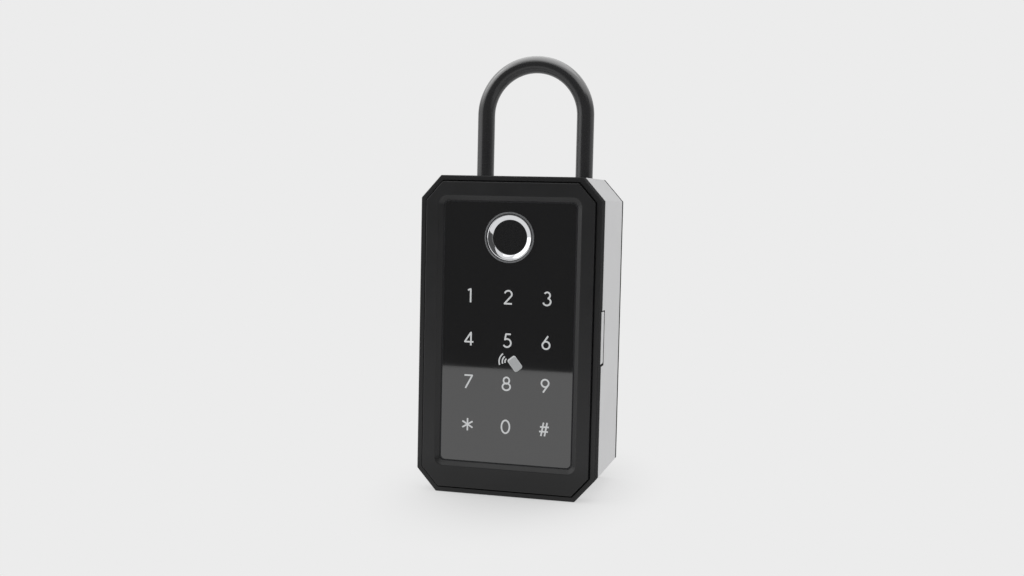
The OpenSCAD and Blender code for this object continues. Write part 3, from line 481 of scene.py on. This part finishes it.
def soften(obj, width):
    """Rounds a frame node's edges with live modifiers; its own mesh stays as it is."""
    join, flat_angle, edge_angle = 0.002 * MM, math.radians(0.5), math.radians(28)
    weld = obj.modifiers.new("Join", "WELD")
    weld.merge_threshold = join
    flat = obj.modifiers.new("Flats", "DECIMATE")
    flat.decimate_type = "DISSOLVE"
    flat.angle_limit = flat_angle
    edge = obj.modifiers.new("Edges", "BEVEL")
    edge.width = width
    edge.segments = 2
    edge.limit_method = "ANGLE"
    edge.angle_limit = edge_angle
    edge.use_clamp_overlap = False
    edge.harden_normals = True


class LOCKBOX_OT_finishes(bpy.types.Operator):
    """Make every finish and give the frame's pieces theirs"""
    bl_idname = "lockbox.finishes"
    bl_label = "Finishes"

    def execute(self, context):
        sizes = context.scene.lockbox_sizes
        FINISHES.update(make_finishes(context.scene.lockbox_colours))
        for finish, names in NODE_FINISH.items():
            for name in names:
                wear(NODES[name], finish)
        for name in SOFT_NODES:
            soften(NODES[name], sizes.edge_radius)
        return {"FINISHED"}


class LOCKBOX_OT_shackle(bpy.types.Operator):
    """Bend the shackle from round bar, with its latch notch and chamfered ends"""
    bl_idname = "lockbox.shackle"
    bl_label = "Shackle"

    def execute(self, context):
        mid_y = (SHACKLE_HIGH.y + SHACKLE_LOW.y) / 2
        bar_sides, bow_steps = 48, 72
        notch_rise, notch_high, notch_deep = 3 * MM, 4.6 * MM, 2.8 * MM
        leg_rows, end_round, weld = (22 * MM, 10 * MM, 0), 0.5 * MM, 0.001 * MM
        level = BOW_Z
        start()
        bpy.ops.mesh.primitive_circle_add(vertices=bar_sides, radius=LEG_R, location=(LEG_X, mid_y, BOW_Z))
        bar = context.object
        place_in_mesh()
        bpy.ops.object.mode_set(mode="EDIT")
        bpy.ops.mesh.select_all(action="SELECT")
        bpy.ops.mesh.spin(steps=bow_steps, angle=math.pi, center=(0, mid_y, BOW_Z), axis=(0, 1, 0))
        bpy.ops.mesh.select_all(action="DESELECT")
        bpy.ops.mesh.select_mode(type="EDGE")
        bpy.ops.mesh.select_non_manifold(extend=False)
        for rise in leg_rows:
            bpy.ops.mesh.extrude_region_move(TRANSFORM_OT_translate={"value": (0, 0, SHACKLE_LOW.z + rise - level)})
            level = SHACKLE_LOW.z + rise
        bpy.ops.mesh.select_non_manifold(extend=False)
        bpy.ops.mesh.fill_holes(sides=0)
        bpy.ops.mesh.select_all(action="SELECT")
        bpy.ops.mesh.remove_doubles(threshold=weld)
        bpy.ops.mesh.normals_make_consistent(inside=False)
        bpy.ops.object.mode_set(mode="OBJECT")
        bpy.ops.mesh.primitive_cube_add(size=1, location=(
            LEG_X - LEG_R, mid_y, SHACKLE_LOW.z + notch_rise + notch_high / 2))
        cutter = context.object
        cutter.scale = (2 * notch_deep, 4 * LEG_R, notch_high)
        place_in_mesh()
        cut(context, bar, cutter)
        apply_modifier(bar, "BEVEL", width=end_round, segments=3, limit_method="ANGLE",
                       angle_limit=math.radians(40), use_clamp_overlap=False)
        bpy.ops.object.shade_smooth_by_angle(angle=math.radians(35))
        settle(bar, "shackle_bar", "shackle", "shackle", "black_shackle", "shackle")
        return {"FINISHED"}


class LOCKBOX_OT_glass(bpy.types.Operator):
    """Cut the keypad glass with its ground edge and the reader's hole"""
    bl_idname = "lockbox.glass"
    bl_label = "Keypad glass"

    def execute(self, context):
        lap, ground, drop, corner = 1 * MM, 0.4 * MM, 0.5 * MM, 3.2 * MM
        size, middle = GLASS_HIGH - GLASS_LOW, (GLASS_HIGH + GLASS_LOW) / 2
        start()
        bpy.ops.mesh.primitive_cube_add(size=1, location=middle + Vector((0, drop / 2, 0)))
        pane = context.object
        pane.scale = (size.x, size.y - drop, size.z)
        place_in_mesh()
        bpy.ops.object.mode_set(mode="EDIT")
        pick_edges(pane, lambda a, b: abs(a.y - b.y) > size.y / 2)
        bpy.ops.mesh.bevel(offset=corner, segments=8, affect="EDGES")
        pick_faces(pane, lambda n: n.y < -FACING)
        bpy.ops.mesh.inset(thickness=lap, depth=0)
        bpy.ops.mesh.inset(thickness=ground, depth=drop)
        bpy.ops.object.mode_set(mode="OBJECT")
        bpy.ops.mesh.primitive_cylinder_add(
            vertices=TURNED_SIDES, radius=READER_HOLE, depth=4 * size.y,
            location=(0, middle.y, READER_Z), rotation=(math.pi / 2, 0, 0))
        hole = context.object
        place_in_mesh()
        cut(context, pane, hole)
        bpy.ops.object.shade_flat()
        settle(pane, "touch_glass", "glass", "door", "dark_glass", "glass_panel")
        return {"FINISHED"}


class LOCKBOX_OT_slot_shade_sheet(bpy.types.Operator):
    """Put a thin black rubber sheet in the finger slot behind the pull tab, as painted shade in the slot's gap"""
    bl_idname = "lockbox.slot_liner"
    bl_label = "Finger slot shade sheet"

    def execute(self, context):
        thick, parting, slot, tab_thick = 0.12 * MM, 0.5 * MM, 1.5 * MM, 1.2 * MM
        side_gap, low_gap = 0.3 * MM, 1 * MM
        low = Vector((TAB_HIGH.x - tab_thick - side_gap, RIM_HIGH.y + parting, TAB_LOW.z - low_gap))
        high = Vector((SHELL_HIGH.x, TAB_HIGH.y + slot, TAB_HIGH.z + side_gap))
        size = high - low
        start()
        bpy.ops.mesh.primitive_cube_add(size=1, location=(low + high) / 2)
        shade_sheet = context.object
        shade_sheet.scale = size
        place_in_mesh()
        bpy.ops.object.mode_set(mode="EDIT")
        pick_faces(shade_sheet, lambda n: n.x > FACING or n.y < -FACING)
        bpy.ops.mesh.delete(type="FACE")
        bpy.ops.object.mode_set(mode="OBJECT")
        apply_modifier(shade_sheet, "SOLIDIFY", thickness=thick, offset=-1)
        bpy.ops.object.shade_flat()
        # Painted shade: a black sheet where the shadow in the slot's gap falls
        settle(shade_sheet, "finger_slot_shade_sheet", "rubber", "housing", "seal_rubber")
        return {"FINISHED"}


class LOCKBOX_OT_reader(bpy.types.Operator):
    """Turn the reader's ring and its dished sensor"""
    bl_idname = "lockbox.reader"
    bl_label = "Fingerprint reader"

    def execute(self, context):
        self.ring()
        self.sensor()
        return {"FINISHED"}

    def disc(self, radius, low_y, high_y):
        """A round blank along Y, centred on the reader."""
        start()
        bpy.ops.mesh.primitive_cylinder_add(
            vertices=TURNED_SIDES, radius=radius, depth=high_y - low_y,
            location=(0, (low_y + high_y) / 2, READER_Z), rotation=(math.pi / 2, 0, 0))
        place_in_mesh()
        bpy.ops.object.mode_set(mode="EDIT")
        return bpy.context.object

    def ring(self):
        """A flange on the glass, a groove, a lip, the polished cone and a sleeve through the glass."""
        groove_y, crest_y, floor_y = GLASS_FACE - 0.1 * MM, GLASS_FACE - 0.25 * MM, GLASS_FACE + 0.7 * MM
        face_y, rear_y = RING_LOW.y, RING_HIGH.y
        edge_round, weld = 0.1 * MM, 0.01 * MM
        blank = self.disc(RING_OUTER, face_y, GLASS_FACE)
        pick_faces(blank, lambda n: n.y < -FACING)
        bpy.ops.mesh.inset(thickness=RING_OUTER - RING_GROOVE, depth=0)
        bpy.ops.mesh.extrude_region_move(TRANSFORM_OT_translate={"value": (0, groove_y - face_y, 0)})
        bpy.ops.mesh.inset(thickness=RING_GROOVE - RING_LIP, depth=0)
        bpy.ops.mesh.inset(thickness=RING_LIP - RING_CREST, depth=groove_y - crest_y)
        bpy.ops.mesh.inset(thickness=RING_CREST - RING_BORE, depth=crest_y - floor_y)
        bpy.ops.mesh.extrude_region_move(TRANSFORM_OT_translate={"value": (0, rear_y - floor_y, 0)})
        bpy.ops.mesh.delete(type="FACE")
        pick_faces(blank, lambda n: n.y > FACING)
        bpy.ops.mesh.inset(thickness=RING_OUTER - RING_SLEEVE, depth=0)
        bpy.ops.mesh.extrude_region_move(TRANSFORM_OT_translate={"value": (0, rear_y - GLASS_FACE, 0)})
        bpy.ops.mesh.inset(thickness=RING_SLEEVE - RING_BORE, depth=0)
        bpy.ops.mesh.delete(type="FACE")
        bpy.ops.mesh.select_all(action="SELECT")
        bpy.ops.mesh.remove_doubles(threshold=weld)
        bpy.ops.mesh.normals_make_consistent(inside=False)
        bpy.ops.object.mode_set(mode="OBJECT")
        apply_modifier(blank, "BEVEL", width=edge_round, segments=3, limit_method="ANGLE",
                       angle_limit=math.radians(25))
        bpy.ops.object.shade_smooth_by_angle(angle=math.radians(40))
        settle(blank, "reader_ring", "polished", "door", "polished_ring", "sensor_ring")

    def sensor(self):
        """A round face that is dished in six rings inside a flat edge."""
        edge, ring_width, ring_drop, edge_round = 0.3 * MM, 0.8 * MM, 0.03 * MM, 0.2 * MM
        blank = self.disc(SENSOR_HIGH.x, SENSOR_LOW.y, SENSOR_HIGH.y)
        pick_faces(blank, lambda n: n.y < -FACING)
        bpy.ops.mesh.inset(thickness=edge, depth=0)
        for step in range(6):
            bpy.ops.mesh.inset(thickness=ring_width, depth=-ring_drop / (1 + step))
        bpy.ops.object.mode_set(mode="OBJECT")
        apply_modifier(blank, "BEVEL", width=edge_round, segments=3, limit_method="ANGLE",
                       angle_limit=math.radians(40))
        bpy.ops.object.shade_smooth_by_angle(angle=math.radians(40))
        settle(blank, "reader_sensor", "sensor", "door", "sensor_black", "fingerprint_sensor")


def arc(cx, cz, rx, rz, first, last, count=24):
    """Points of an elliptic arc, in degrees from +X towards +Z."""
    turn = [math.radians(first + (last - first) * i / count) for i in range(count + 1)]
    return [(cx + rx * math.cos(a), cz + rz * math.sin(a)) for a in turn]


def key_strokes():
    """Pen strokes of each key in a cell of height 1, centred on the origin."""
    bowl = 0.255
    return {
        "1": [[(-0.15, 0.385), (0.05, 0.46), (0.05, -0.46)]],
        "2": [arc(0, 0.2, 0.25, 0.245, 165, -25) + [(-0.26, -0.445), (0.27, -0.445)]],
        "3": [arc(0, 0.235, 0.2, 0.21, 150, -75), arc(-0.01, -0.2, 0.265, 0.245, 80, -165)],
        "4": [[(0.31, -0.21), (-0.31, -0.21), (0.13, 0.445), (0.13, -0.46)]],
        "5": [[(0.24, 0.445), (-0.1, 0.445), (-0.17, 0.06)] + arc(-0.02, -0.165, 0.275, 0.28, 118, -150)],
        "6": [arc(0, -0.19, bowl, bowl, 0, 360, 36), [(0.13, 0.445), (-0.215, -0.07)]],
        "7": [[(-0.28, 0.445), (0.28, 0.445), (-0.2, -0.46)]],
        "8": [arc(0, 0.225, 0.205, 0.22, 0, 360, 36), arc(0, -0.205, 0.275, 0.24, 0, 360, 36)],
        "9": [arc(0, 0.19, bowl, bowl, 0, 360, 36), [(-0.13, -0.445), (0.215, 0.07)]],
        "*": [[(0, 0.43), (0, -0.43)], [(-0.37, 0.22), (0.37, -0.22)], [(-0.37, -0.22), (0.37, 0.22)]],
        "0": [arc(0, 0, 0.285, 0.445, 0, 360, 44)],
        "#": [[(-0.04, 0.47), (-0.21, -0.47)], [(0.21, 0.47), (0.04, -0.47)],
              [(-0.28, 0.16), (0.34, 0.16)], [(-0.34, -0.16), (0.28, -0.16)]],
    }


def square_up(line, near):
    """Adds a point just before and after each sharp corner, so that the stroke keeps its width there."""
    straight_on = -0.9
    points = [Vector(point) for point in line]
    made = [points[0]]
    for before, here, after in zip(points, points[1:], points[2:]):
        back, ahead = (before - here).normalized(), (after - here).normalized()
        if back.dot(ahead) > straight_on:
            made += [here + near * back, here, here + near * ahead]
        else:
            made.append(here)
    return made + [points[-1]]


# Card sign on the glass, in millimetres and degrees: three waves, and a card's face on a light card behind it
WAVE_AT, WAVE_RADII, WAVE_STROKE = (0.6, 54), (1.35, 2.46, 3.77), 0.55
WAVE_FIRST, WAVE_LAST, WAVE_STEPS = 126, 202, 16
BACK_CARD_AT, BACK_CARD_SIZE = (3.3, 53.3), (5.9, 3.8)
CARD_AT, CARD_SIZE = (3.5, 53.05), (5.4, 3.5)
CARD_TURN, CARD_CORNER = 52, 0.8


class LOCKBOX_OT_keys(bpy.types.Operator):
    """Print the digits, the star, the hash and the card sign on the glass"""
    bl_idname = "lockbox.keys"
    bl_label = "Printed keys"

    def execute(self, context):
        sizes = context.scene.lockbox_sizes
        strokes = key_strokes()
        lines = []
        for row, keys in enumerate(("123", "456", "789", "*0#")):
            for column, key in enumerate(keys):
                x = (column - 1) * sizes.key_pitch_x
                z = sizes.key_top - row * sizes.key_pitch_z
                for stroke in strokes[key]:
                    lines.append([(x + px * sizes.key_height, z + pz * sizes.key_height) for px, pz in stroke])
        self.lay_ink(context, "key_print", lines, sizes.key_stroke)
        x, z = (v * MM for v in WAVE_AT)
        waves = [arc(x, z, r * MM, r * MM, WAVE_FIRST, WAVE_LAST, WAVE_STEPS) for r in WAVE_RADII]
        self.lay_ink(context, "card_waves_print", waves, WAVE_STROKE * MM)
        self.card(context, "card_edge_print", BACK_CARD_AT, BACK_CARD_SIZE, 1, "ink")
        self.card(context, "card_print", CARD_AT, CARD_SIZE, 2, "ink_grey")
        return {"FINISHED"}

    def lay_ink(self, context, name, lines, width):
        """Pen strokes as a thin raised print on the glass."""
        joined, near = 0.01 * MM, 0.02 * MM
        start()
        pen = bpy.data.curves.new(name, "CURVE")
        pen.dimensions = "3D"
        pen.bevel_depth = width / 2
        pen.bevel_resolution = 2
        pen.use_fill_caps = True
        for line in lines:
            closed = math.dist(line[0], line[-1]) < joined
            points = line[:-1] if closed else square_up(line, near)
            spline = pen.splines.new("POLY")
            spline.points.add(len(points) - 1)
            for point, (x, z) in zip(spline.points, points):
                point.co = (x, 0, z, 1)
            spline.use_cyclic_u = closed
        print_obj = bpy.data.objects.new(name, pen)
        context.scene.collection.objects.link(print_obj)
        context.view_layer.objects.active = print_obj
        print_obj.select_set(True)
        bpy.ops.object.convert(target="MESH")
        print_obj = context.object
        print_obj.scale = (1, 2 * context.scene.lockbox_sizes.ink_thickness / width, 1)
        print_obj.location = (0, GLASS_FACE, 0)
        place_in_mesh()
        bpy.ops.object.shade_smooth_by_angle(angle=math.radians(50))
        settle(print_obj, name, "ink", "door", "dark_glass")

    def card(self, context, name, middle, size, layers, finish):
        """A filled card with round corners beside the waves; middle and size are in millimetres."""
        thick = layers * context.scene.lockbox_sizes.ink_thickness
        start()
        bpy.ops.mesh.primitive_cube_add(size=1, location=(middle[0] * MM, GLASS_FACE, middle[1] * MM),
                                        rotation=(0, math.radians(CARD_TURN), 0))
        card = context.object
        card.scale = (size[0] * MM, 2 * thick, size[1] * MM)
        place_in_mesh()
        bpy.ops.object.mode_set(mode="EDIT")
        pick_edges(card, lambda a, b: abs(a.y - b.y) > thick)
        bpy.ops.mesh.bevel(offset=CARD_CORNER * MM, segments=6, affect="EDGES")
        bpy.ops.object.mode_set(mode="OBJECT")
        settle(card, name, finish, "door", "dark_glass")


# Camera found from the photograph: place in millimetres, turns in degrees, focal length for a 36 mm sensor
CAMERA_AT = (122.607, -488.719, 117.161)
CAMERA_YAW, CAMERA_PITCH, CAMERA_ROLL = 14.598, 4.040, 1.267
SENSOR_WIDTH = 36
CAMERA_LENS = 1226.678 * SENSOR_WIDTH / 1024

# Floor's edges and the band over which it turns to plain background, in millimetres; the band is narrower across
FLOOR_HALF, FLOOR_FRONT, FLOOR_BACK = 1200, -382, 1600
GLOW_FROM, GLOW_TO, GLOW_LEAST, GLOW_SQUEEZE = 25, 110, 0.5, 1.7

# Grey flags: name, colour, place in millimetres, turn in degrees and size in millimetres
FLAGS = (("front_flag", "5E5E5E", (0, -900, 300), 0, (1800, 1060)),
         ("side_flag", "787878", (1000, -525, 285), 75, (780, 1030)))

# Soft boxes: name, place and size in millimetres, and power in watts; they point at the middle of the case
SOFT_BOXES = (("top_softbox", (-100, 80, 900), (1200, 1200), 2.7),
              ("left_softbox", (-850, -350, 500), (1000, 1000), 2.6))
AIM = Vector((0, 0, 70 * MM))

# Light of the surrounding air, and the background that is seen
AIR_COLOUR, AIR_STRENGTH, BACKGROUND = "F4F4F4", 0.68, "ECECEC"


class LOCKBOX_OT_stage(bpy.types.Operator):
    """Set the floor, the flags, the lights, the world and the camera"""
    bl_idname = "lockbox.stage"
    bl_label = "Stage"

    def execute(self, context):
        self.floor(context)
        self.flags(context)
        self.lights(context)
        self.world(context)
        self.camera(context)
        context.scene.view_settings.view_transform = "Standard"
        return {"FINISHED"}

    def floor(self, context):
        """Matt paper that keeps the object's shadow near it and glows to the background's level further out."""
        colour = context.scene.lockbox_colours.floor
        start()
        bpy.ops.mesh.primitive_plane_add(size=1, location=(0, (FLOOR_FRONT + FLOOR_BACK) / 2 * MM, 0))
        made = context.object
        made.scale = (2 * FLOOR_HALF * MM, (FLOOR_BACK - FLOOR_FRONT) * MM, 1)
        place_in_mesh()
        made.name = "studio_floor"
        mat, tree, shader = surface("studio_paper", Base_Color=colour, Roughness=0.9)
        place = add(tree, "ShaderNodeTexCoord").outputs["Object"]
        wide = add(tree, "ShaderNodeMapping", {"Vector": place, "Scale": (GLOW_SQUEEZE, 1, 1)}).outputs["Vector"]
        reach = add(tree, "ShaderNodeVectorMath", {0: wide}, operation="LENGTH").outputs["Value"]
        far = add(tree, "ShaderNodeMapRange",
                  {"Value": reach, "From Min": GLOW_FROM * MM, "From Max": GLOW_TO * MM, "To Min": GLOW_LEAST},
                  interpolation_type="SMOOTHSTEP").outputs["Result"]
        glow = add(tree, "ShaderNodeEmission", {"Color": colour})
        both = add(tree, "ShaderNodeMixShader", {0: far, 1: shader.outputs[0], 2: glow.outputs[0]})
        tree.links.new(both.outputs[0], tree.nodes["Material Output"].inputs["Surface"])
        made.data.materials.append(mat)

    def flags(self, context):
        """Grey flags in front and at the right, seen only in reflections, as used for dark glass."""
        for name, colour, place, turn, size in FLAGS:
            start()
            bpy.ops.mesh.primitive_plane_add(size=1, location=[v * MM for v in place],
                                             rotation=(math.pi / 2, 0, math.radians(turn)))
            made = context.object
            made.scale = (size[0] * MM, size[1] * MM, 1)
            place_in_mesh()
            made.name = name
            # Velvet cloth: no sheen at all
            mat = surface("velvet_" + name, Base_Color=linear(colour), Roughness=1.0, Specular_IOR_Level=0.0)[0]
            made.data.materials.append(mat)
            made.visible_camera = made.visible_diffuse = made.visible_shadow = made.visible_transmission = False

    def lights(self, context):
        """Large soft boxes above and at the left."""
        for name, place, size, power in SOFT_BOXES:
            start()
            bpy.ops.object.light_add(type="AREA", location=[v * MM for v in place])
            lamp = context.object
            lamp.name = name
            lamp.data.shape = "RECTANGLE"
            lamp.data.size, lamp.data.size_y = size[0] * MM, size[1] * MM
            lamp.data.energy = power
            lamp.rotation_euler = (AIM - lamp.location).to_track_quat("-Z", "Y").to_euler()

    def world(self, context):
        """Even light from all round; the camera and reflections see the plain background."""
        world = bpy.data.worlds.new("studio_air")
        world.use_nodes = True
        context.scene.world = world
        tree = world.node_tree
        path = add(tree, "ShaderNodeLightPath")
        seen = add(tree, "ShaderNodeMath", {0: path.outputs["Is Camera Ray"], 1: path.outputs["Is Glossy Ray"]},
                   operation="MAXIMUM")
        seen = add(tree, "ShaderNodeMath", {0: seen.outputs[0], 1: path.outputs["Is Transmission Ray"]},
                   operation="MAXIMUM")
        fill = add(tree, "ShaderNodeBackground", {"Color": linear(AIR_COLOUR), "Strength": AIR_STRENGTH})
        shown = add(tree, "ShaderNodeBackground", {"Color": linear(BACKGROUND), "Strength": 1.0})
        both = add(tree, "ShaderNodeMixShader", {0: seen.outputs[0], 1: fill.outputs[0], 2: shown.outputs[0]})
        tree.links.new(both.outputs[0], tree.nodes["World Output"].inputs["Surface"])

    def camera(self, context):
        """The camera that took the photograph."""
        yaw, pitch, roll = (math.radians(v) for v in (CAMERA_YAW, CAMERA_PITCH, CAMERA_ROLL))
        ahead = Vector((-math.sin(yaw) * math.cos(pitch), math.cos(yaw) * math.cos(pitch), -math.sin(pitch)))
        right = Vector((math.cos(yaw), math.sin(yaw), 0))
        up = right.cross(ahead)
        side = math.cos(roll) * right + math.sin(roll) * up
        top = -math.sin(roll) * right + math.cos(roll) * up
        lens = bpy.data.cameras.new("photo_camera")
        lens.sensor_width = SENSOR_WIDTH
        lens.lens = CAMERA_LENS
        lens.clip_start, lens.clip_end = 10 * MM, 20
        shot = bpy.data.objects.new("photo_camera", lens)
        context.scene.collection.objects.link(shot)
        turn = Matrix((side, top, -ahead)).transposed().to_4x4()
        shot.matrix_world = Matrix.Translation([v * MM for v in CAMERA_AT]) @ turn
        context.scene.camera = shot


class LOCKBOX_PT_panel(bpy.types.Panel):
    """Lists the steps in the sidebar"""
    bl_idname = "LOCKBOX_PT_panel"
    bl_label = "Key Lockbox"
    bl_space_type = "VIEW_3D"
    bl_region_type = "UI"
    bl_category = "Lockbox"

    def draw(self, context):
        for step in STEPS:
            self.layout.operator(step.bl_idname)
        for group in (context.scene.lockbox_sizes, context.scene.lockbox_colours):
            for key in group.__annotations__:
                self.layout.prop(group, key)


STEPS = (LOCKBOX_OT_finishes, LOCKBOX_OT_shackle, LOCKBOX_OT_glass, LOCKBOX_OT_slot_shade_sheet, LOCKBOX_OT_reader,
         LOCKBOX_OT_keys, LOCKBOX_OT_stage)
CLASSES = (LockboxSizes, LockboxColours) + STEPS + (LOCKBOX_PT_panel,)


def register():
    for cls in CLASSES:
        bpy.utils.register_class(cls)
    bpy.types.Scene.lockbox_sizes = bpy.props.PointerProperty(type=LockboxSizes)
    bpy.types.Scene.lockbox_colours = bpy.props.PointerProperty(type=LockboxColours)


def unregister():
    del bpy.types.Scene.lockbox_colours
    del bpy.types.Scene.lockbox_sizes
    for cls in reversed(CLASSES):
        bpy.utils.unregister_class(cls)


def main():
    register()
    bpy.ops.lockbox.finishes()
    bpy.ops.lockbox.shackle()
    bpy.ops.lockbox.glass()
    bpy.ops.lockbox.slot_liner()
    bpy.ops.lockbox.reader()
    bpy.ops.lockbox.keys()
    bpy.ops.lockbox.stage()
    start()


if __name__ == "__main__":
    main()
